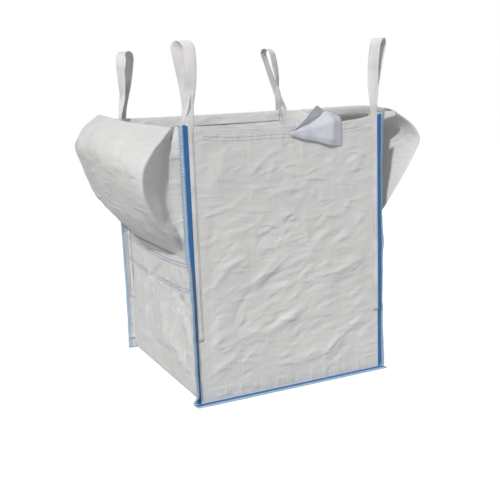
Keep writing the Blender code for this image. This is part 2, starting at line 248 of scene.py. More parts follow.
def woven_polypropylene(name, colour, shade, gloss):
    """Flat tapes, woven plain: each warp and weft tape differs a little in tone, and each crossing bulges.

    The real tapes are 2.5 mm wide; they are drawn 6 mm wide so that the weave shows at this size.
    The extruded tapes have a satin surface, so the cloth is matt with a faint sheen along folds.
    """
    material, tree, shader = new_material(name, {
        "Roughness": gloss, "Specular IOR Level": 0.35, "Sheen Weight": 0.12, "Sheen Roughness": 0.5,
    })
    where = add_node(tree, "ShaderNodeUVMap", {"uv_map": "cloth"})
    split = add_node(tree, "ShaderNodeSeparateXYZ", links={0: where.outputs[0]})
    tones = []
    bulges = []
    for axis in (0, 1):
        count = add_node(
            tree, "ShaderNodeMath", {"operation": "MULTIPLY"}, {1: 1.0 / TAPE}, {0: split.outputs[axis]}
        )
        whole = add_node(tree, "ShaderNodeMath", {"operation": "FLOOR"}, links={0: count.outputs[0]})
        tone = add_node(
            tree, "ShaderNodeTexWhiteNoise", {"noise_dimensions": "1D"}, links={"W": whole.outputs[0]}
        )
        angle = add_node(
            tree, "ShaderNodeMath", {"operation": "MULTIPLY"}, {1: float(np.pi)}, {0: count.outputs[0]}
        )
        wave = add_node(tree, "ShaderNodeMath", {"operation": "SINE"}, links={0: angle.outputs[0]})
        size = add_node(tree, "ShaderNodeMath", {"operation": "ABSOLUTE"}, links={0: wave.outputs[0]})
        tones.append(tone.outputs["Value"])
        bulges.append(size.outputs[0])
    tone = add_node(
        tree, "ShaderNodeMix", {"data_type": "FLOAT"}, {"Factor": 0.35}, {"A": tones[0], "B": tones[1]}
    )
    cloud = add_node(tree, "ShaderNodeTexNoise", inputs={"Scale": 3.2, "Detail": 5.0, "Roughness": 0.6})
    coordinates = add_node(tree, "ShaderNodeTexCoord")
    tree.links.new(coordinates.outputs["Object"], cloud.inputs["Vector"])
    mixed = add_node(
        tree, "ShaderNodeMix", {"data_type": "FLOAT"}, {"Factor": 0.80},
        {"A": tone.outputs[0], "B": cloud.outputs[0]},
    )
    colour_between(tree, shader, mixed.outputs[0], shade, 0.15, colour, 0.85)
    crossing = add_node(
        tree, "ShaderNodeMath", {"operation": "MULTIPLY"}, links={0: bulges[0], 1: bulges[1]}
    )
    turned = add_node(
        tree, "ShaderNodeMapping", inputs={"Rotation": (0.0, 0.30, 0.30), "Scale": (0.45, 0.45, 1.0)},
        links={"Vector": coordinates.outputs["Object"]},
    )
    crumple = add_node(
        tree, "ShaderNodeTexNoise", {"noise_type": "RIDGED_MULTIFRACTAL", "normalize": True},
        {"Scale": 24.0, "Detail": 5.0, "Roughness": 0.5, "Lacunarity": 2.1, "Distortion": 0.4},
        {"Vector": turned.outputs[0]},
    )
    height = add_node(
        tree, "ShaderNodeMath", {"operation": "MULTIPLY_ADD"}, {1: 0.10},
        {0: crossing.outputs[0], 2: crumple.outputs[0]},
    )
    add_bump(tree, shader, height.outputs[0], 0.75, 0.010)
    return material


cloth_white = woven_polypropylene("woven_polypropylene_cloth", "#DDDDDC", "#CDCDCC", 0.46)
# The back panel, inside and out, is painted lighter than the other cloths: painted light standing in for the
# sun and the glow through the cloth that brighten its inner face.
back_cloth_painted_light = woven_polypropylene("polypropylene_cloth_painted_light", "#F0F0F0", "#E4E4E4", 0.46)


def folds(rng, count, area, angle, spread, length, width, height):
    """A table of folds: centre, direction, half length, width and height, drawn evenly over an area."""
    (u0, u1), (v0, v1) = area
    return np.stack([
        rng.uniform(u0, u1, count),
        rng.uniform(v0, v1, count),
        np.radians(rng.normal(angle, spread, count)),
        rng.uniform(0.5, 1.0, count) * length,
        rng.uniform(0.6, 1.3, count) * width,
        rng.uniform(0.35, 1.0, count) * height * rng.choice((-1.0, 1.0), count, p=(0.4, 0.6)),
    ], axis=1)


def relief(u, v, table):
    """Sum of folds: each is a ridge whose height falls off as exp(-distance / width) across it, rounded at
    the crest, and as the square of a cosine along it."""
    total = np.zeros_like(u)
    for u0, v0, angle, half_length, width, height in table:
        along = (u - u0) * np.cos(angle) + (v - v0) * np.sin(angle)
        across = (v - v0) * np.cos(angle) - (u - u0) * np.sin(angle)
        across = across + 0.10 * along**2 / half_length
        reach = np.clip(np.abs(along) / half_length, 0.0, 1.0)
        falling = np.exp(0.4 - np.sqrt((across / width) ** 2 + 0.16))
        total += height * np.cos(reach * np.pi / 2) ** 2 * falling
    return total


def ease(value, low, high):
    """0 below low, 1 above high, and 3t^2 - 2t^3 between them."""
    share = np.clip((value - low) / (high - low), 0.0, 1.0)
    return share * share * (3 - 2 * share)


def ripple(values, seed, period):
    """A smooth wandering line between about -1 and 1: five sines of nearby periods, summed."""
    rng = np.random.default_rng(seed)
    total = np.zeros_like(values)
    for share in (1.7, 1.0, 0.71, 0.53, 0.37):
        total += share * np.sin(2 * np.pi * values / (period * share) + rng.uniform(0, 2 * np.pi))
    return total / 2.6


wall_rng = np.random.default_rng(11)
WALL_FOLDS = {
    side: np.concatenate([
        folds(wall_rng, 90, ((-0.40, 0.40), (0.05, 0.58)), side * 62.0, 24.0, 0.10, 0.0085, 0.0085),
        folds(wall_rng, 14, ((-0.36, 0.36), (0.08, 0.50)), side * 40.0, 30.0, 0.22, 0.026, 0.0180),
    ])
    for side in (-1, 1)
}
LAP_LEVELS = (0.601, 0.588, 0.493, 0.480)


def lap_drop(y):
    """How far the lap seams sag between the corners, most at mid depth."""
    return 0.022 * (1.0 - np.clip(np.abs(y) / 0.42, 0.0, 1.0) ** 2)


def wall_relief(side, y, z):
    """Outward reach of the lower wall: a slight belly, its folds, and puckers along the lap seams."""
    inside = ease(0.440 - np.abs(y), 0.0, 0.10)
    floor_free = ease(z, 0.03, 0.14)
    belly = 0.004 * np.sin(np.pi * np.clip(z / 0.6, 0, 1)) * np.cos(np.pi * y / 0.9)
    pucker = np.zeros_like(z)
    for level in (0.596, 0.491):
        near = np.exp(-(((z - level + lap_drop(y)) / 0.016) ** 2))
        pucker += 0.0009 * near * ripple(y, 5 + side, 0.024)
    return inside * floor_free * (belly + relief(y, z, WALL_FOLDS[side])) + inside * pucker


# For each corner (side, face): the sewn edge's turn in degrees at a row of heights.
FIN_TURNS = {
    (-1, -1): ((0.0, 60.0), (0.06, 56.0), (0.14, 50.0), (0.50, 48.0), (0.57, 38.0), (0.63, 14.0),
               (0.72, 4.0), (0.95, 0.0), (1.18, 0.0)),
    (1, -1): ((0.0, 0.0), (0.25, -16.0), (0.50, -12.0), (0.60, 4.0), (0.68, -12.0), (0.95, -16.0),
              (1.18, 0.0)),
    (-1, 1): ((0.0, 0.0), (0.30, -14.0), (0.62, -6.0), (1.18, 0.0)),
    (1, 1): ((0.0, 4.0), (0.40, 12.0), (0.80, -8.0), (1.18, 0.0)),
}


def turn_fins(points):
    """Points past the walls' planes turn about their corner's upright line, more or less with height.

    A positive angle turns the sewn edge away from the walls' line, towards the outer side of the panel.
    """
    points = points.copy()
    for (side, face), turns in FIN_TURNS.items():
        outside = (side * points[..., 0] > HALF) & (face * points[..., 1] > 0.40)
        chosen = points[outside]
        wander = 3.0 * ripple(chosen[:, 2], 7 + side + 3 * face, 0.11)
        angle = np.interp(chosen[:, 2], *np.array(turns).T) + wander
        angle = np.radians(angle) * ease(chosen[:, 2], 0.004, 0.06)
        reach = side * chosen[:, 0] - HALF
        lift = face * chosen[:, 1] - HALF
        angle = angle * ease(reach, 0.0, 0.006)
        chosen[:, 0] = side * (HALF + reach * np.cos(angle) - lift * np.sin(angle))
        chosen[:, 1] = face * (HALF + reach * np.sin(angle) + lift * np.cos(angle))
        points[outside] = chosen
    return points


def fin_steps():
    """Places of the columns across a sewn edge, from the wall outwards."""
    return np.array([0.0, 0.004, 0.010, 0.020, FIN_REACH])


def body_panel():
    """Rows run down the left wall, across the base and up the right wall; columns, front to back."""
    turn = np.radians(np.linspace(0.0, 90.0, 7))
    curve_x = HALF - FOLD_RADIUS + FOLD_RADIUS * np.cos(turn)
    curve_z = FOLD_RADIUS - FOLD_RADIUS * np.sin(turn)
    wall_z = np.concatenate([np.arange(LAP_TOP, FIN_FOOT, -CLOTH_STEP), [FIN_FOOT, 0.043]])
    half_x = np.concatenate([np.full_like(wall_z, HALF), curve_x])
    half_z = np.concatenate([wall_z, curve_z])
    base_x = np.linspace(-curve_x[-1], curve_x[-1], 61)[1:-1]
    path_x = np.concatenate([-half_x, base_x, half_x[::-1]])
    path_z = np.concatenate([half_z, np.zeros_like(base_x), half_z[::-1]])
    along = np.concatenate([[0.0], np.cumsum(np.hypot(np.diff(path_x), np.diff(path_z)))])
    wall_y = np.linspace(-BODY_LAYER_Y, BODY_LAYER_Y, 121)
    flange = fin_steps()[1:]
    y = np.concatenate([-BODY_LAYER_Y - flange[::-1], wall_y, BODY_LAYER_Y + flange])
    x_grid, y_grid = np.meshgrid(path_x, y, indexing="ij")
    z_grid = np.repeat(path_z[:, None], len(y), axis=1)
    side = np.sign(x_grid)
    on_wall = z_grid > FIN_FOOT - 1e-6
    on_base = z_grid < 1e-6
    past = np.maximum(np.abs(y_grid) - BODY_LAYER_Y, 0.0)
    reach = np.where(side < 0, wall_relief(-1, y_grid, z_grid), wall_relief(1, y_grid, z_grid))
    reach = np.where(on_base | (past > 0), 0.0, reach)
    x_out = x_grid + side * np.where(on_wall, past, 0.0) + side * reach
    y_out = np.where(on_wall & (past > 0), np.sign(y_grid) * BODY_LAYER_Y, y_grid)
    foot_y = np.sign(y_grid) * (BODY_LAYER_Y + past * (FOOT_REACH / FIN_REACH))
    y_out = np.where(on_base & (past > 0), foot_y, y_out)
    grid = turn_fins(np.stack([x_out, y_out, z_grid + np.where(on_base, 0.0008, 0.0)], axis=2))
    uv = np.stack([y_grid, np.repeat(along[:, None], len(y), axis=1)], axis=2)
    middle = np.abs(y) <= BODY_LAYER_Y + 1e-6
    in_middle = middle[:-1] & middle[1:]
    flat = (on_wall | on_base)[:, 0]
    kept = in_middle[None, :] | (flat[:-1] & flat[1:])[:, None]
    cloth = add_cloth("body_cloth", grid, uv, cloth_white, kept)
    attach(cloth, "bag")
    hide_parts("body_panel")


body_panel()

# ---------------------------------------------------------------------------
# Side extensions: the upper side cloths, cut taller than the sides they close, so that they bulge
# out between the corner seams. Each is lapped inside the body panel and its top edge is turned in.
EXTENSION_X = HALF - 0.0023
EXTENSION_Y = 0.4457
STRIP = 0.062
LAP_FOOT = LAP_TOP - 0.137
SHOULDER_SHARE = 0.72
SHOULDER_ALONG = 0.42
BACK_SHARES = {-1: 0.90, 1: 0.85}
ROW_STEPS = 9
COLUMN_STEPS = 15
# Level, level at mid depth, reach and place of the valley, of the crease, and of the belly.
EXTENSION_ROWS = {
    -1: (
        (0.618, 0.618, 0.000, 0.075, 0.000, 0.120, 0.000),
        (0.660, 0.655, 0.004, 0.078, 0.014, 0.100, 0.056),
        (0.720, 0.715, 0.024, 0.070, 0.064, 0.045, 0.128),
        (0.800, 0.800, 0.060, 0.055, 0.146, 0.005, 0.200),
        (0.910, 0.915, 0.085, 0.048, 0.205, -0.030, 0.258),
        (1.010, 1.020, 0.085, 0.048, 0.205, -0.035, 0.305),
        (1.080, 1.090, 0.065, 0.055, 0.152, -0.010, 0.330),
        (1.130, 1.160, 0.035, 0.070, 0.082, 0.040, 0.305),
        (1.165, 1.215, 0.014, 0.078, 0.035, 0.085, 0.225),
    ),
    1: (
        (0.618, 0.618, 0.000, 0.090, 0.000, 0.150, 0.000),
        (0.670, 0.660, 0.006, 0.092, 0.018, 0.110, 0.050),
        (0.730, 0.725, 0.042, 0.105, 0.070, 0.064, 0.110),
        (0.800, 0.800, 0.086, 0.138, 0.118, 0.050, 0.175),
        (0.890, 0.895, 0.130, 0.175, 0.178, 0.040, 0.240),
        (0.990, 1.000, 0.162, 0.200, 0.235, 0.034, 0.290),
        (1.055, 1.070, 0.172, 0.205, 0.255, 0.030, 0.312),
        (1.115, 1.135, 0.158, 0.185, 0.222, 0.040, 0.300),
        (1.178, 1.195, 0.075, 0.100, 0.140, 0.055, 0.235),
    ),
}
# How much further back the left valleys lie than in the rows above; the right rows already hold theirs.
VALLEY_BACK = {-1: 0.024, 1: 0.0}
# Share of the folds' height: the left cloth is more crumpled than the right.
CRUMPLE = {-1: 1.0, 1: 0.15}
# How straight each span across an extension is: the front facet is flat up to its crease.
ACROSS_PULL = {
    -1: (0.5, 0.95, 0.60, 0.15, 0.10, 0.30, 0.80, 0.5),
    1: (0.6, 0.75, 0.15, 0.0, 0.0, 0.10, 0.5, 0.5),
}
# The turned-in top edge, row by row: how far it goes inwards, and how far up.
TOP_TURN = ((0.003, 0.0015), (0.005, -0.003), (0.003, -0.016), (-0.004, -0.034), (-0.012, -0.052))
extension_rng = np.random.default_rng(23)
EXTENSION_FOLDS = {
    side: np.concatenate([
        folds(
            extension_rng, 34, ((-0.42, 0.42), (0.66, 1.20)), 90.0 - side * 12.0, 20.0, 0.15, 0.012, 0.0080
        ),
        folds(extension_rng, 26, ((-0.42, 0.42), (0.62, 0.88)), -side * 48.0, 18.0, 0.12, 0.009, 0.0066),
        folds(extension_rng, 40, ((-0.40, 0.40), (0.68, 1.18)), 0.0, 60.0, 0.08, 0.009, 0.0052),
    ])
    for side in (-1, 1)
}
# Folds that run up from the front corner of the lap, and along the left cloth's front crease.
NAMED_FOLDS = {
    -1: np.array([
        (-0.36, 0.690, np.radians(-50.0), 0.130, 0.010, 0.0075),
        (-0.33, 0.725, np.radians(-54.0), 0.150, 0.009, -0.0060),
        (-0.29, 0.700, np.radians(-42.0), 0.120, 0.010, 0.0060),
        (-0.24, 0.660, np.radians(-30.0), 0.110, 0.012, -0.0050),
        (-0.14, 0.905, np.radians(-70.0), 0.130, 0.012, 0.0060),
        (-0.02, 0.860, np.radians(-58.0), 0.150, 0.012, -0.0060),
        (0.07, 0.990, np.radians(-74.0), 0.170, 0.014, 0.0070),
        (0.17, 0.840, np.radians(-60.0), 0.120, 0.012, 0.0060),
        (0.24, 0.760, np.radians(-48.0), 0.110, 0.012, -0.0060),
        (-0.10, 1.130, np.radians(80.0), 0.080, 0.020, -0.0060),
    ]),
    1: np.array([
        (-0.30, 0.700, np.radians(52.0), 0.110, 0.010, 0.0060),
    ]),
}


def extension_row(side, share, level, middle, valley, valley_y, crease, crease_y, belly):
    """Points across an extension at one level, from the front strip to the back strip: out to the
    valley, the crease and the belly, and back. The back half's reaches and crease are a share of the
    front's."""
    valley_y = valley_y + VALLEY_BACK[side] * ease(level, 0.66, 0.80)
    shoulder = crease + (belly - crease) * SHOULDER_SHARE
    shoulder_y = crease_y + (HALF - crease_y) * SHOULDER_ALONG
    between = 0.5 * (level + middle)
    far_crease_y = STRIP + (crease_y - STRIP) * share
    line = [
        (0.0, STRIP, level),
        (valley, valley_y, level),
        (crease, crease_y, level),
        (shoulder, shoulder_y, between),
        (belly, HALF, middle),
        (share * shoulder, 2 * HALF - shoulder_y, between),
        (share * crease, 2 * HALF - far_crease_y, level),
        (share * valley, 2 * HALF - valley_y, level),
        (0.0, 2 * HALF - STRIP, level),
    ]
    return [(side * (EXTENSION_X + reach), depth - HALF, height) for reach, depth, height in line]


def smooth_line(points, steps, tautness=0.0):
    """Catmull-Rom curve through rows of points, pulled towards straight spans by the tautness share,
    which is one number or one for each span."""
    points = np.asarray(points, dtype=float)
    padded = np.concatenate([2 * points[:1] - points[1:2], points, 2 * points[-1:] - points[-2:-1]])
    t = (np.arange(steps) / steps).reshape((-1,) + (1,) * points.ndim)
    a, b, c, d = (padded[i : i + len(points) - 1][None] for i in range(4))
    square = (2 * a - 5 * b + 4 * c - d) * t**2
    cube = (3 * b - a - 3 * c + d) * t**3
    curve = 0.5 * (2 * b + (c - a) * t + square + cube)
    pull = np.broadcast_to(tautness, len(points) - 1).reshape((1, -1) + (1,) * (points.ndim - 1))
    curve = curve * (1 - pull) + (b + (c - b) * t) * pull
    curve = np.swapaxes(curve, 0, 1).reshape((-1,) + points.shape[1:])
    return np.concatenate([curve, points[-1:]])


def grid_normals(grid):
    """Unit normals of a grid of points, from the cross product of its two central differences."""
    normal = np.cross(np.gradient(grid, axis=1), np.gradient(grid, axis=0))
    return normal / np.maximum(np.linalg.norm(normal, axis=2, keepdims=True), 1e-9)


def side_extension(label, side):
    """Rows run up from the foot of the lap to the top edge and over it; columns run across, fin to fin."""
    share = BACK_SHARES[side]
    rows = EXTENSION_ROWS[side]
    net = np.array([extension_row(side, share, *row) for row in rows])
    across = np.swapaxes(smooth_line(np.swapaxes(net, 0, 1), COLUMN_STEPS, ACROSS_PULL[side]), 0, 1)
    surface = smooth_line(across, ROW_STEPS, 0.12)
    lap_z = np.arange(LAP_FOOT, rows[0][0] - 0.004, 0.007)
    lap = np.repeat(surface[:1], len(lap_z), axis=0)
    lap[..., 2] = lap_z[:, None]
    reach_in = wall_relief(side, lap[..., 1], lap[..., 2])
    lap[..., 0] += side * reach_in
    surface = np.concatenate([lap, surface])
    edge = surface[-1]
    inwards = np.array([HALF * 0.35 * side, 0.0, 0.0]) - edge * (1, 1, 0)
    inwards /= np.linalg.norm(inwards, axis=1, keepdims=True)
    seam = ease(HALF - STRIP + 0.03 - np.abs(edge[:, 1]), 0.0, 0.10)[:, None]
    turned = [edge + inwards * back * seam + np.array([0, 0, 1.0]) * up * seam for back, up in TOP_TURN]
    turned = [row - np.array([0, 0, 0.004 + 0.003 * n]) * (1 - seam) for n, row in enumerate(turned)]
    surface = np.concatenate([surface, turned])
    v = surface[..., 2]
    u = surface[..., 1]
    normal = grid_normals(surface)
    if (normal[..., 0] * side).mean() < 0:
        normal = -normal
    foot_z = rows[0][0]
    bulging = ease(np.abs(surface[..., 0]) - EXTENSION_X, 0.01, 0.06)
    free = ease(v, foot_z, 0.70) * ease(HALF - STRIP - np.abs(surface[..., 1]) + 0.012, 0.0, 0.045)
    free = np.maximum(free, bulging) * ease(v, foot_z, 0.66)
    free[-len(TOP_TURN):] *= 0.3
    height = relief(u, v, np.concatenate([EXTENSION_FOLDS[side], NAMED_FOLDS[side]]))
    slow = 0.006 * ripple(u + 0.35 * v, 31 + side, 0.42) * ripple(v - 0.2 * u, 37 + side, 0.36)
    surface = surface + normal * (CRUMPLE[side] * (height + slow) * free)[..., None]
    flange = fin_steps()[1:]
    x = side * (EXTENSION_X + np.concatenate([flange[::-1], [0.0]]))
    strip_y = np.linspace(EXTENSION_Y, HALF - STRIP, 8)[1:-1]
    parts = []
    for face, column in ((-1, surface[:, 0]), (1, surface[:, -1])):
        outer = np.stack(np.broadcast_arrays(x[None], face * EXTENSION_Y, column[:, 2:3]), axis=2)
        strip_places = np.broadcast_arrays(side * EXTENSION_X, face * strip_y[None], column[:, 2:3])
        inner = np.stack(strip_places, axis=2)
        strip = np.concatenate([outer, inner], axis=1)
        parts.append(strip if face < 0 else strip[:, ::-1])
    grid = np.concatenate([turn_fins(parts[0]), surface, turn_fins(parts[1])], axis=1)
    grid = grid if side > 0 else grid[:, ::-1]
    run = np.linalg.norm(np.diff(grid, axis=1), axis=2).mean(axis=0)
    rise = np.median(np.linalg.norm(np.diff(grid, axis=0), axis=2), axis=1)
    u_flat = np.concatenate([[0.0], np.cumsum(run)])
    v_flat = np.concatenate([[0.0], np.cumsum(rise)])
    uv = np.stack(np.meshgrid(u_flat, v_flat), axis=2)
    cloth = add_cloth(f"{label}_extension_cloth", grid, uv, cloth_white)
    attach(cloth, "bag")
    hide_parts(f"{label}_side_extension")


for label, side in (("left", -1), ("right", 1)):
    side_extension(label, side)

# ---------------------------------------------------------------------------
# Front and back panels: flat cloths sewn in between the sides. Each runs straight past both corners
# into the sewn edges, turns out at its foot over the base, and has a deep hem turned in at its rim.
RIM_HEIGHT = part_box("front_panel")[1].z
RIM_SAG = {-1: 0.030, 1: 0.004}
RIM_SAG_POWER = 5
HEM_DEPTH = 0.055
HEM_HALF = 0.441
FOOT_Z = 0.0043
PANEL_MARGIN = 0.397
panel_rng = np.random.default_rng(5)
PANEL_FOLDS = {
    face: np.concatenate([
        folds(panel_rng, 170, ((-0.40, 0.40), (0.06, 0.76)), 14.0, 18.0, 0.075, 0.0065, 0.0036),
        folds(panel_rng, 30, ((-0.40, 0.40), (0.06, 0.66)), 24.0, 20.0, 0.16, 0.014, 0.0075),
        folds(panel_rng, 46, ((-0.38, 0.38), (0.62, 1.08)), 8.0, 30.0, 0.09, 0.012, 0.0042),
        folds(panel_rng, 8, ((-0.38, 0.38), (0.60, 1.08)), 86.0, 14.0, 0.16, 0.022, 0.0045),
    ])
    for face in (-1, 1)
}
PANEL_NAMED_FOLDS = np.array([
    (-0.20, 0.735, np.radians(24.0), 0.110, 0.012, 0.0040),
    (-0.12, 0.700, np.radians(12.0), 0.090, 0.010, -0.0030),
    (0.02, 0.560, np.radians(16.0), 0.130, 0.012, 0.0036),
    (-0.06, 0.350, np.radians(22.0), 0.150, 0.014, 0.0036),
    (0.16, 0.255, np.radians(12.0), 0.170, 0.014, -0.0036),
    (0.02, 0.130, np.radians(8.0), 0.180, 0.014, 0.0036),
    (0.27, 0.860, np.radians(-60.0), 0.090, 0.012, 0.0030),
    (0.30, 0.795, np.radians(48.0), 0.060, 0.010, 0.0034),
])


def rim_height(face, x):
    """Height of the front or back rim: level between the corners and rising steeply near them."""
    share = np.clip(np.abs(x) / HALF, 0.0, 1.0)
    return RIM_HEIGHT - RIM_SAG[face] * (1.0 - share**RIM_SAG_POWER)


def panel_relief(face, x, z):
    """Outward reach of a panel between its corner webbings: swells, folds, puckers below the hem."""
    inside = ease(PANEL_MARGIN - np.abs(x), 0.0, 0.05)
    floor_free = ease(z, 0.015, 0.10)
    top_free = 1.0 - 0.75 * ease(z, 1.06, 1.13)
    swell = 0.0045 * ripple(x + 0.3 * z, 41 + face, 0.55) * ripple(z - 0.3 * x, 43 + face, 0.50)
    table = np.concatenate([PANEL_FOLDS[face], PANEL_NAMED_FOLDS]) if face < 0 else PANEL_FOLDS[face]
    below = rim_height(face, x) - z
    near = np.exp(-(((below - 0.040) / 0.014) ** 2))
    pucker = 0.0010 * near * ripple(x, 47 + face, 0.030)
    foot = 0.0012 * np.exp(-((z - 0.03) / 0.03) ** 2) * ripple(x, 53 + face, 0.035)
    return inside * (floor_free * top_free * (swell + relief(x, z, table)) + pucker + foot)


def end_panel(label, face):
    """Rows run from the foot's edge in to the corner, up to the rim, over it and down inside the hem."""
    flange = fin_steps()[1:]
    wall_x = np.linspace(-HALF, HALF, 161)
    x = np.concatenate([-HALF - flange[::-1], wall_x, HALF + flange])
    z_share = np.linspace(0.0, 1.0, 201)
    top = rim_height(face, x)
    rise = FOOT_Z + (top[None] - FOOT_Z) * z_share[:, None]
    x_rise = np.repeat(x[None], len(z_share), axis=0)
    y_rise = face * (HALF + panel_relief(face, x_rise, rise))
    foot_y = face * (HALF + np.array([FIN_REACH, 0.020, 0.010, 0.003]))
    foot = np.stack([
        np.repeat(x[None], 4, axis=0),
        np.repeat(foot_y[:, None], len(x), axis=1),
        np.full((4, len(x)), FOOT_Z),
    ], axis=2)
    bend = np.radians(np.linspace(0.0, 180.0, 6))[1:]
    radius = 0.0012
    fold_y = y_rise[-1] - face * radius * (1 - np.cos(bend))[:, None]
    fold_z = top + radius * np.sin(bend)[:, None] - radius
    down = np.linspace(0.0, HEM_DEPTH, 8)[1:]
    inside_y = y_rise[-1] - face * (2 * radius + 0.0006 * np.sin(down * 60.0)[:, None])
    inside_z = top - radius - down[:, None]
    hem_x = np.repeat(x[None], len(bend) + len(down), axis=0)
    hem = np.stack([hem_x, np.concatenate([fold_y, inside_y]), np.concatenate([fold_z, inside_z])], axis=2)
    grid = np.concatenate([foot, np.stack([x_rise, y_rise, rise], axis=2), hem])
    column = len(x) // 2
    along = np.concatenate([[0.0], np.cumsum(np.linalg.norm(np.diff(grid[:, column], axis=0), axis=1))])
    uv = np.stack(np.meshgrid(x, along), axis=2)
    grid = turn_fins(grid)
    kept = np.ones((grid.shape[0] - 1, grid.shape[1] - 1), bool)
    narrow = (np.abs(x[:-1]) > HEM_HALF) | (np.abs(x[1:]) > HEM_HALF)
    kept[-len(bend) - len(down):, narrow] = False
    if face > 0:
        grid = grid[:, ::-1]
        uv = uv[:, ::-1]
        kept = kept[:, ::-1]
    # The back panel takes the lighter cloth: painted light on its inner face.
    cloth = add_cloth(f"{label}_cloth", grid, uv, cloth_white if face < 0 else back_cloth_painted_light, kept)
    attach(cloth, "bag")
    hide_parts(f"{label}_panel")


for label, face in (("front", -1), ("back", 1)):
    end_panel(label, face)

# ---------------------------------------------------------------------------
# Seam rows: twin rows of lock stitch along the hems, in pale grey thread, and along both edges of the
# laps, in blue. Each stitch is one short flat length of thread that shows between two needle holes.
STITCH_PITCH = 0.0085
STITCH_LENGTH = 0.0066
STITCH_SPREAD = np.array([-1.0, -0.62, 0.62, 1.0])
STITCH_GIRTH = np.array([0.35, 1.0, 1.0, 0.35])
HEM_EDGE = 0.036
HEM_ROW_STEP = 0.014


def thread(name, colour, dark, gloss):
    """Multifilament polypropylene sewing thread: satin, with fine darker flecks of twist."""
    material, tree, shader = new_material(name, {"Roughness": gloss, "Sheen Weight": 0.05})
    where = add_node(tree, "ShaderNodeTexCoord")
    twist = add_node(
        tree, "ShaderNodeTexNoise", inputs={"Scale": 420.0, "Detail": 2.0},
        links={"Vector": where.outputs["Object"]},
    )
    colour_between(tree, shader, twist.outputs[0], dark, 0.35, colour, 0.60)
    add_bump(tree, shader, twist.outputs[0], 0.4, 0.0006)
    return material


thread_blue = thread("blue_overlock_thread", "#A4D0F0", "#74B2E4", 0.45)
thread_deep = thread("deep_blue_chain_thread", "#2F7CBC", "#1C5D9C", 0.45)
thread_lap = thread("lavender_blue_lap_thread", "#7686BE", "#6072B0", 0.50)
thread_grey = thread("pale_grey_thread", "#A9A9AE", "#96969C", 0.55)
# The strap stitches' dark grey is partly the thread's own colour and partly painted shade, for the shadow
# line along the webbing's inboard edge.
thread_dark = thread("dark_grey_thread", "#77777F", "#63636B", 0.55)


def tubes(centres, normals, half_width, half_thick, closed=False):
    """Quads of many four-sided threads. Each ring point is the centre plus width times the side
    direction or thickness times the normal, and the side is tangent x normal. Open threads get a quad
    at each end."""
    count, rings = centres.shape[:2]
    if closed:
        tangent = np.roll(centres, -1, axis=1) - np.roll(centres, 1, axis=1)
    else:
        tangent = np.gradient(centres, axis=1)
    side = np.cross(tangent, normals)
    side /= np.maximum(np.linalg.norm(side, axis=2, keepdims=True), 1e-12)
    width = side * np.broadcast_to(half_width, centres.shape[:2])[..., None]
    thick = normals * np.broadcast_to(half_thick, centres.shape[:2])[..., None]
    points = np.stack([centres + width, centres + thick, centres - width, centres - thick], axis=2)
    ring = np.arange(rings if closed else rings - 1)
    corner = np.arange(4)
    a = ring[:, None] * 4 + corner
    b = ring[:, None] * 4 + (corner + 1) % 4
    c = ((ring[:, None] + 1) % rings) * 4 + (corner + 1) % 4
    d = ((ring[:, None] + 1) % rings) * 4 + corner
    one = np.stack([a, b, c, d], axis=2).reshape(-1, 4)
    if not closed:
        last = 4 * (rings - 1)
        one = np.concatenate([one, [[3, 2, 1, 0], [last, last + 1, last + 2, last + 3]]])
    quads = (one[None] + (np.arange(count) * rings * 4)[:, None, None]).reshape(-1, 4)
    return points.reshape(-1, 3), quads


def stitch_row(
    line, normals, half_width=0.0009, half_thick=0.0006, pitch=STITCH_PITCH, length=STITCH_LENGTH
):
    """Short stitches laid at even steps along a line on the cloth, each raised by half its thickness."""
    run = np.concatenate([[0.0], np.cumsum(np.linalg.norm(np.diff(line, axis=0), axis=1))])
    middle = np.arange(pitch, run[-1] - pitch / 2, pitch)
    at = middle[:, None] + STITCH_SPREAD * length / 2
    centres = np.stack([np.interp(at, run, line[:, k]) for k in range(3)], axis=2)
    facing = np.stack([np.interp(at, run, normals[:, k]) for k in range(3)], axis=2)
    facing /= np.linalg.norm(facing, axis=2, keepdims=True)
    centres = centres + facing * half_thick * np.array([0.1, 1.0, 1.0, 0.1])[None, :, None]
    return tubes(centres, facing, half_width * STITCH_GIRTH, half_thick * STITCH_GIRTH)


def add_threads(name, sets, material, body, replaced=()):
    """One piece from several sets of points and quads, riding on one body."""
    points = []
    quads = []
    count = 0
    for some, faces in sets:
        points.append(some)
        quads.append(faces + count)
        count += len(some)
    piece = put_mesh(name, np.concatenate(points), np.concatenate(quads), material)
    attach(piece, body)
    if replaced:
        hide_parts(*replaced)
    return piece


for label, face in (("front", -1), ("back", 1)):
    x = np.linspace(-HALF + STRIP, HALF - STRIP, 400)
    rows = []
    for number in (0, 1):
        z = rim_height(face, x) - HEM_EDGE - HEM_ROW_STEP * number + 0.0009 * ripple(x, 61 + number, 0.20)
        y = face * (HALF + panel_relief(face, x, z) + 0.0002)
        normals = np.tile(np.array([0.0, float(face), 0.0]), (len(x), 1))
        rows.append(stitch_row(np.stack([x, y, z], axis=1), normals))
    add_threads(
        f"{label}_hem_rows", rows, thread_grey, "bag",
        (f"{label}_hem_stitch_1", f"{label}_hem_stitch_2"),
    )

for label, side in (("left", -1), ("right", 1)):
    y = np.linspace(-0.440, 0.440, 450)
    rows = []
    for number, level in enumerate(LAP_LEVELS):
        z = level - lap_drop(y) + 0.0009 * ripple(y, 71 + number, 0.20)
        over_webbing = 0.0032 * ease(np.abs(y), 0.386, 0.392)
        x = side * (HALF + wall_relief(side, y, z) + 0.0002 + over_webbing)
        normals = np.tile(np.array([float(side), 0.0, 0.0]), (len(y), 1))
        rows.append(stitch_row(np.stack([x, y, z], axis=1), normals, 0.0011, 0.0009))
    add_threads(
        f"{label}_lap_rows", rows, thread_lap, "bag",
        tuple(f"{label}_lap_stitch_{n}" for n in (1, 2, 3, 4)),
    )

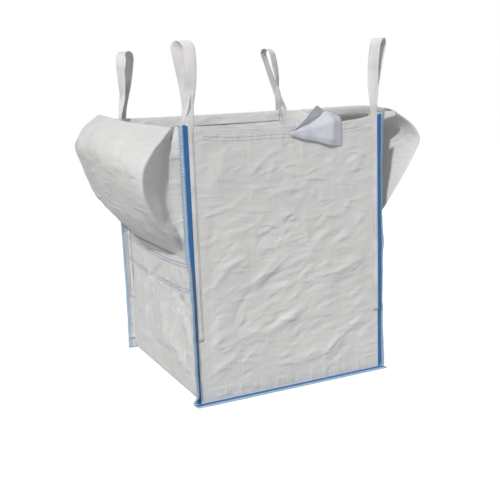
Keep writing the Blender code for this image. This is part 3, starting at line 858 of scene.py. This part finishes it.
# ---------------------------------------------------------------------------
# Sewn edges: blue overlock wraps the cut edges of the cloths at each corner and along the foot of the
# front and back, and two rows of chain stitch inboard of it hold the seam.
OVERLOCK_PITCH = 0.0088
OVERLOCK_WIDTH = 0.0017
OVERLOCK_THICK = 0.0006
CHAIN_PITCH = 0.0080
CHAIN_PLACES = (0.0035, 0.0125)
CHAIN_HALF = 0.0040
CHAIN_THREAD = 0.0026
SEAM_FACE = 0.0006
# Stitch path round an edge: reach, place across the layers from -1 (outer) to 1, and climb.
WRAP = np.array([
    (0.0160, -1.0, 0.0000), (0.0215, -1.10, 0.0016), (0.0315, -1.45, 0.0046),
    (0.0355, -0.55, 0.0054), (0.0355, 0.55, 0.0058), (0.0315, 1.45, 0.0064),
    (0.0215, 1.10, 0.0080), (0.0160, 1.0, 0.0092),
])
WRAP_NORMALS = np.array([
    (0.0, -1.0), (0.0, -1.0), (0.45, -0.9), (0.97, -0.24),
    (0.97, 0.24), (0.45, 0.9), (0.0, 1.0), (0.0, 1.0),
])
# One chain loop: share of the pitch along the seam, and share of the loop's half width.
LINK = np.array([
    (-1.0, 0.0), (-0.7, 0.75), (0.0, 1.0), (0.7, 0.62),
    (1.0, 0.0), (0.7, -0.62), (0.0, -1.0), (-0.7, -0.75),
])


def overlock(low, high, middle, half_layers, rng):
    """Wrapped stitches in the edge's own terms: reach out of the seam, place across its layers, and
    distance along it."""
    start = np.arange(low, high - 0.009, OVERLOCK_PITCH)
    slip = rng.normal(0.0, 0.0005, (len(start), 1))
    reach = WRAP[None, :, 0] + slip * np.where(np.abs(WRAP[:, 1]) < 0.5, 0.3, 1.0)
    place = middle + np.sign(WRAP[None, :, 1]) * SEAM_FACE + WRAP[None, :, 1] * half_layers
    across = np.broadcast_to(place, reach.shape)
    along = start[:, None] + WRAP[None, :, 2] + rng.normal(0.0, 0.0004, (len(start), 1))
    centres = np.stack([reach, across, along], axis=2)
    normals = np.zeros_like(centres)
    normals[..., 0] = WRAP_NORMALS[None, :, 0]
    normals[..., 1] = WRAP_NORMALS[None, :, 1]
    return centres, normals


def chain(low, high, face):
    """Two rows of chain stitch in the edge's own terms: long loops, each dipping under the next."""
    one = np.arange(low + CHAIN_PITCH, high - CHAIN_PITCH, CHAIN_PITCH)
    start = np.concatenate([one, one + CHAIN_PITCH / 2])
    place = np.repeat(CHAIN_PLACES, len(one))[:, None]
    centres = np.zeros((len(start), len(LINK), 3))
    centres[..., 0] = place + LINK[None, :, 1] * CHAIN_HALF
    centres[..., 1] = face - 0.0006 * (1.0 + 0.5 * LINK[None, :, 0])
    centres[..., 2] = start[:, None] + LINK[None, :, 0] * CHAIN_PITCH * 0.66
    normals = np.zeros_like(centres)
    normals[..., 1] = -1.0
    return centres, normals


def at_corner(local, side, face, is_normal=False):
    """From an upright edge's own terms to the bag's: reach goes out along X, layers lie across Y."""
    out = np.empty_like(local)
    out[..., 0] = side * (local[..., 0] + (0.0 if is_normal else HALF))
    out[..., 1] = -face * local[..., 1]
    out[..., 2] = local[..., 2]
    return out


def turned_normals(points, normals):
    """Normals after the edges' turn, found by turning a second point set a little along each normal."""
    step = 1e-4
    moved = turn_fins(points + normals * step) - turn_fins(points)
    return moved / np.maximum(np.linalg.norm(moved, axis=2, keepdims=True), 1e-12)


LAYER_MIDDLE = -0.4467
WEB_RAISE = 0.0029
WEB_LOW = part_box("front_left_webbing_on_panel")[0].z
LAYER_HALF = 0.0033
corner_rng = np.random.default_rng(3)
for label, side, face in (
    ("front_left", -1, -1), ("front_right", 1, -1), ("back_left", -1, 1), ("back_right", 1, 1)
):
    over_webbing = chain(0.006, RIM_HEIGHT - 0.002, -HALF - 0.0004)
    over_webbing[0][..., 1] -= WEB_RAISE * ease(over_webbing[0][..., 2], WEB_LOW - 0.01, WEB_LOW + 0.01)
    for piece, shape, material, sizes, replaced in (
        ("overlock", overlock(0.006, RIM_HEIGHT, LAYER_MIDDLE, LAYER_HALF, corner_rng), thread_blue,
         (OVERLOCK_WIDTH, OVERLOCK_THICK, False), f"{label}_overlock"),
        ("chain", over_webbing, thread_deep,
         (CHAIN_THREAD, 0.0008, True), f"{label}_chain_stitch"),
    ):
        centres = at_corner(shape[0], side, face)
        normals = at_corner(shape[1], side, face, True)
        normals /= np.linalg.norm(normals, axis=2, keepdims=True)
        turned = turned_normals(centres, normals)
        threads = tubes(turn_fins(centres), turned, *sizes)
        add_threads(f"{label}_{piece}_thread", [threads], material, "bag", (replaced,))

EDGE_HALF = HALF + FIN_REACH - 0.004
for label, face in (("front", -1), ("back", 1)):
    wrap = overlock(-EDGE_HALF, EDGE_HALF, -0.0024, 0.0021, corner_rng)
    links = chain(-EDGE_HALF, EDGE_HALF, -FOOT_Z - 0.0003)
    for piece, shape, material, sizes, replaced in (
        ("overlock", wrap, thread_blue, (OVERLOCK_WIDTH, 0.0005, False), f"{label}_bottom_overlock"),
        ("chain", links, thread_deep, (CHAIN_THREAD, 0.0008, True), f"{label}_bottom_chain_stitch"),
    ):
        centres, normals = (np.empty_like(part) for part in shape)
        for out, part, start in ((centres, shape[0], HALF), (normals, shape[1], 0.0)):
            out[..., 0] = part[..., 2]
            out[..., 1] = face * (part[..., 0] + start)
            out[..., 2] = -part[..., 1]
        centres[..., 2] = np.maximum(centres[..., 2], 0.0006)
        normals /= np.linalg.norm(normals, axis=2, keepdims=True)
        threads = tubes(centres, normals, *sizes)
        name = f"{label}_bottom_{piece}_thread"
        add_threads(name, [threads], material, "bag", (replaced,))

# ---------------------------------------------------------------------------
# Corner straps: one length of flat polypropylene webbing a corner. One end is sewn down the panel
# into the corner seam and the other down the side, and between them it stands up as the lifting loop.
WEB_WIDTH = 0.048
WEB_SEWN = 0.036
WEB_THICK = 0.0024
RIB = 0.0045
WEB_FOOT = RIM_HEIGHT - 0.900
LOOP_HEIGHT = 0.318
LEG_INSET = 0.010
SIDE_LEG_Y = 0.4174
WEB_ACROSS = np.array([-1.0, -0.9, -0.5, 0.0, 0.5, 0.9, 1.0, 0.9, 0.5, 0.0, -0.5, -0.9])
WEB_THROUGH = np.array([0.0, 0.8, 1.0, 1.0, 1.0, 0.8, 0.0, -0.8, -1.0, -1.0, -1.0, -0.8])
# Side and face; angle from the panel leg to the side leg at the foot and at the top; angle of the width
# at the top; half the gap there; half the depth of the bend; lean of the top along X and Y; sideways swing
# half way up; sharpness of the bend.
STRAPS = {
    "front_left": (
        -1, -1, 129.0, 158.0, -22.0, 0.023, 0.012, (-0.004, -0.006), (0.012, -0.004), 1.3
    ),
    "front_right": (1, -1, 51.0, 30.0, -50.0, 0.026, 0.0, (0.030, 0.004), (-0.010, 0.0), 1.5),
    "back_left": (-1, 1, 231.0, 218.0, 128.0, 0.040, 0.0, (0.040, -0.004), (0.010, 0.0), 2.2),
    "back_right": (1, 1, 309.0, 294.0, 204.0, 0.030, 0.0, (-0.078, 0.004), (-0.004, 0.0), 1.8),
}


def woven_webbing(name, colour, shade):
    """Flat polypropylene webbing: slanted ribs 4.5 mm apart that meet in chevrons; matt, slightly fuzzy."""
    material, tree, shader = new_material(name, {"Roughness": 0.72, "Sheen Weight": 0.2})
    where = add_node(tree, "ShaderNodeUVMap", {"uv_map": "cloth"})
    split = add_node(tree, "ShaderNodeSeparateXYZ", links={0: where.outputs[0]})
    bend = add_node(tree, "ShaderNodeMath", {"operation": "PINGPONG"}, {1: 0.008}, {0: split.outputs[0]})
    slant = add_node(
        tree, "ShaderNodeMath", {"operation": "ADD"}, links={0: split.outputs[1], 1: bend.outputs[0]}
    )
    angle = add_node(
        tree, "ShaderNodeMath", {"operation": "MULTIPLY"}, {1: float(2 * np.pi / RIB)},
        {0: slant.outputs[0]},
    )
    rib = add_node(tree, "ShaderNodeMath", {"operation": "SINE"}, links={0: angle.outputs[0]})
    coordinates = add_node(tree, "ShaderNodeTexCoord")
    soil = add_node(
        tree, "ShaderNodeTexNoise", inputs={"Scale": 14.0, "Detail": 5.0},
        links={"Vector": coordinates.outputs["Object"]},
    )
    level = add_node(
        tree, "ShaderNodeMath", {"operation": "MULTIPLY_ADD"}, {1: 0.12},
        {0: rib.outputs[0], 2: soil.outputs[0]},
    )
    colour_between(tree, shader, level.outputs[0], shade, 0.30, colour, 0.65)
    add_bump(tree, shader, rib.outputs[0], 0.5, 0.0009)
    return material


webbing = woven_webbing("woven_polypropylene_webbing", "#EDECEB", "#D2D1D0")


def nearest_turn(angle, near, period=180.0):
    """The angle, changed by whole periods so that it comes nearest to another."""
    return angle + period * np.round((near - angle) / period)


def strap_frames(side, face, foot_axis, top_axis, top_width, radius, depth, lean, swing, sharp):
    """Centres and width directions all along a strap, from the panel leg's foot up, round the eye and
    down the side leg. Both legs stand off the loop's middle line by half the gap along an axis that
    turns as it rises, and by the depth along the facing direction, so a strap may bend back beside
    itself."""
    straight = LOOP_HEIGHT - radius
    leg_z = np.linspace(WEB_FOOT, RIM_HEIGHT, 60)[:-1]
    rise = np.linspace(0.0, 1.0, 34)
    arc = np.radians(np.linspace(0.0, 180.0, 23))[1:-1]
    panel_foot = np.array([side * (HALF - LEG_INSET), face * (HALF + 0.0016)])
    side_foot = np.array([side * (HALF + 0.0016), face * SIDE_LEG_Y])
    foot_gap = np.linalg.norm(side_foot - panel_foot) / 2
    middle_foot = (panel_foot + side_foot) / 2
    top = straight + radius * np.sin(arc) ** (2 / sharp)
    height = np.concatenate([straight * rise, top, straight * rise[::-1]])
    lateral = np.concatenate([-np.ones_like(rise), -np.cos(arc), np.ones_like(rise)])
    share = height / LOOP_HEIGHT
    waist = foot_gap + (0.007 - foot_gap) * ease(share, 0.0, 0.22)
    gap = waist + (radius - waist) * ease(share, 0.22, straight / LOOP_HEIGHT)
    axis = np.radians(foot_axis + (top_axis - foot_axis) * ease(share, 0.0, 0.8))
    centre = middle_foot + np.array(lean) * share[:, None] ** 1.3
    centre = centre + np.array(swing) * np.sin(np.pi * share)[:, None]
    forwards = np.radians(top_width + 90.0)
    back = lateral * depth * ease(share, 0.10, 0.8)
    x = centre[:, 0] + lateral * gap * np.cos(axis) + back * np.cos(forwards)
    y = centre[:, 1] + lateral * gap * np.sin(axis) + back * np.sin(forwards)
    loop = np.stack([x, y, RIM_HEIGHT + height], axis=1)
    panel_width = nearest_turn(0.0, top_width)
    side_width = nearest_turn(90.0, top_width)
    start = np.where(lateral < 0, panel_width, side_width)
    width_angle = np.radians(start + (top_width - start) * ease(share, 0.0, 0.75))
    below = len(leg_z)
    panel_leg = np.stack(
        [np.full(below, panel_foot[0]), np.full(below, panel_foot[1]), leg_z], axis=1
    )
    side_leg = np.stack(
        [np.full(below, side_foot[0]), np.full(below, side_foot[1]), leg_z[::-1]], axis=1
    )
    side_leg[:, 0] -= side * 0.0020 * ease(side_leg[:, 2], LAP_TOP, LAP_TOP + 0.05)
    angles = np.concatenate([np.full(below, np.radians(panel_width)), width_angle,
                             np.full(below, np.radians(side_width))])
    centres = np.concatenate([panel_leg, loop, side_leg])
    widths = np.stack([np.cos(angles), np.sin(angles), np.zeros_like(angles)], axis=1)
    return centres, widths, below


def corner_strap(label, side, face, *shape):
    """A flat section carried along the strap's middle line; the part in the corner seam turns with it."""
    centres, widths, below = strap_frames(side, face, *shape)
    tangent = np.gradient(centres, axis=0)
    tangent /= np.linalg.norm(tangent, axis=1, keepdims=True)
    facing = np.cross(tangent, widths)
    facing /= np.linalg.norm(facing, axis=1, keepdims=True)
    full = WEB_WIDTH / 2 * np.ones(len(centres))
    opened = ease(centres[:, 2], RIM_HEIGHT, RIM_HEIGHT + 0.14)
    narrow = WEB_SEWN / 2 + (WEB_WIDTH - WEB_SEWN) / 2 * opened
    half = np.where(np.arange(len(centres)) < len(centres) / 2, narrow, full)
    free = ease(centres[:, 2], RIM_HEIGHT + 0.02, RIM_HEIGHT + 0.10)
    cup = 0.0022 * free * np.sin(centres[:, 2] * 41.0)
    points = (
        centres[:, None]
        + widths[:, None] * (half[:, None] * WEB_ACROSS)[..., None]
        + facing[:, None] * (WEB_THICK / 2 * WEB_THROUGH + cup[:, None] * (WEB_ACROSS**2 - 0.5))[..., None]
    )
    points[:below] = turn_fins(points[:below])
    rings, count = points.shape[:2]
    along = np.concatenate([[0.0], np.cumsum(np.linalg.norm(np.diff(centres, axis=0), axis=1))])
    ring = np.arange(rings - 1)[:, None] * count
    j = np.arange(count)
    following = (j + 1) % count
    quads = np.stack([ring + j, ring + following, ring + count + following, ring + count + j], axis=2)
    start = [[0, 11, 10, 1], [1, 10, 9, 2], [2, 9, 8, 3], [3, 8, 7, 4], [4, 7, 6, 5]]
    end = (rings - 1) * count + np.array(start)[:, ::-1]
    quads = np.concatenate([quads.reshape(-1, 4), start, end])
    uv = np.stack(np.broadcast_arrays(WEB_ACROSS * WEB_WIDTH / 2, along[:, None]), axis=2)
    strap = put_mesh(f"{label}_strap", points, quads, webbing, uv)
    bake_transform(strap)
    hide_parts(f"{label}_webbing_on_panel", f"{label}_webbing_on_side", f"{label}_loop")
    rows = []
    on_panel = slice(2, below - 1)
    on_side = slice(rings - below + 1, rings - 2)
    for part, offsets in ((on_panel, (-0.42, 0.30)), (on_side, (-0.40, 0.40))):
        for offset in offsets:
            line = centres[part] + widths[part] * (half[part, None] * 2) * offset
            away = (facing[part] * centres[part] * (1, 1, 0)).sum(axis=1, keepdims=True)
            outward = facing[part] * np.sign(away)
            line = line + outward * (WEB_THICK / 2 + 0.0001)
            line = turn_fins(line) if part == on_panel else line
            rows.append(stitch_row(line, outward, 0.0009, 0.0006, 0.0100, 0.0068))
    add_threads(f"{label}_strap_stitches", rows, thread_dark, "bag")


for label, shape in STRAPS.items():
    corner_strap(label, *shape)

# ---------------------------------------------------------------------------
# Document pouch: a satchel of coated film sewn inside the front hem. It has sprung up and curled
# forward over the rim, pinched to a point at its left end and open at its right.
# Columns run from left to right, rows from the sewn edge up, over and under: (x, y, z).
POUCH_NET = np.array([
    [(0.048, -0.4477, 1.1520), (0.096, -0.4477, 1.1550), (0.140, -0.4477, 1.1620), (0.176, -0.4477, 1.1640),
     (0.246, -0.4477, 1.1600)],
    [(0.020, -0.4680, 1.1260), (0.066, -0.4880, 1.1760), (0.112, -0.5010, 1.2270), (0.166, -0.4640, 1.2060),
     (0.240, -0.4510, 1.1670)],
    [(0.024, -0.4640, 1.1260), (0.078, -0.4600, 1.1550), (0.128, -0.4570, 1.1800), (0.180, -0.4580, 1.2035),
     (0.262, -0.4505, 1.1700)],
    [(0.008, -0.4660, 1.1190), (0.078, -0.4720, 1.1270), (0.136, -0.4760, 1.1340), (0.206, -0.4860, 1.1560),
     (0.268, -0.4500, 1.1480)],
    [(0.002, -0.4640, 1.1140), (0.078, -0.4690, 1.1020), (0.134, -0.4690, 1.0920), (0.200, -0.4800, 1.0790),
     (0.270, -0.4500, 1.0680)],
    [(0.012, -0.4590, 1.1060), (0.080, -0.4610, 1.0860), (0.136, -0.4600, 1.0740), (0.198, -0.4640, 1.0540),
     (0.268, -0.4500, 1.0480)],
])
POUCH_STEPS = 7


def coated_film(name, colour, shade):
    """Coated cloth film: bluish white, smoother than the bag's cloth, with faint cloudy creases."""
    material, tree, shader = new_material(name, {
        "Roughness": 0.38, "Coat Weight": 0.15, "Coat Roughness": 0.35,
    })
    where = add_node(tree, "ShaderNodeTexCoord")
    cloud = add_node(
        tree, "ShaderNodeTexNoise", inputs={"Scale": 22.0, "Detail": 4.0},
        links={"Vector": where.outputs["Object"]},
    )
    colour_between(tree, shader, cloud.outputs[0], shade, 0.3, colour, 0.7)
    add_bump(tree, shader, cloud.outputs[0], 0.25, 0.002)
    return material


pouch_film = coated_film("coated_pouch_film", "#D6DAE2", "#C9CDD8")


def document_pouch():
    """A smooth sheet through the net's points, with shallow ripples that die out at the sewn edge."""
    rows = smooth_line(POUCH_NET, POUCH_STEPS, 0.85)
    grid = np.swapaxes(smooth_line(np.swapaxes(rows, 0, 1), POUCH_STEPS, (0.4, 0.5, 0.7, 1.0)), 0, 1)
    normal = grid_normals(grid)
    share = np.linspace(0.0, 1.0, grid.shape[0])[:, None]
    wave = 0.0012 * ripple(grid[..., 0], 83, 0.09) * ease(share, 0.05, 0.3)
    grid = grid + normal * wave[..., None]
    grid[:, :, 1] = np.minimum(grid[:, :, 1], -0.4460)
    steps = np.linalg.norm(np.diff(grid[:, grid.shape[1] // 2], axis=0), axis=1)
    down = np.concatenate([[0.0], np.cumsum(steps)])
    across = grid[grid.shape[0] // 2, :, 0]
    uv = np.stack(np.meshgrid(across, down), axis=2)
    film = add_cloth("pouch_film", grid, uv, pouch_film, thickness=0.0008)
    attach(film, "document_pouch_body")
    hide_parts("document_pouch")


document_pouch()
for node, finish in (("pouch_sewn_edge", pouch_film), ("pouch_stitch", thread_grey)):
    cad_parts[node].data.materials.clear()
    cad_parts[node].data.materials.append(finish)
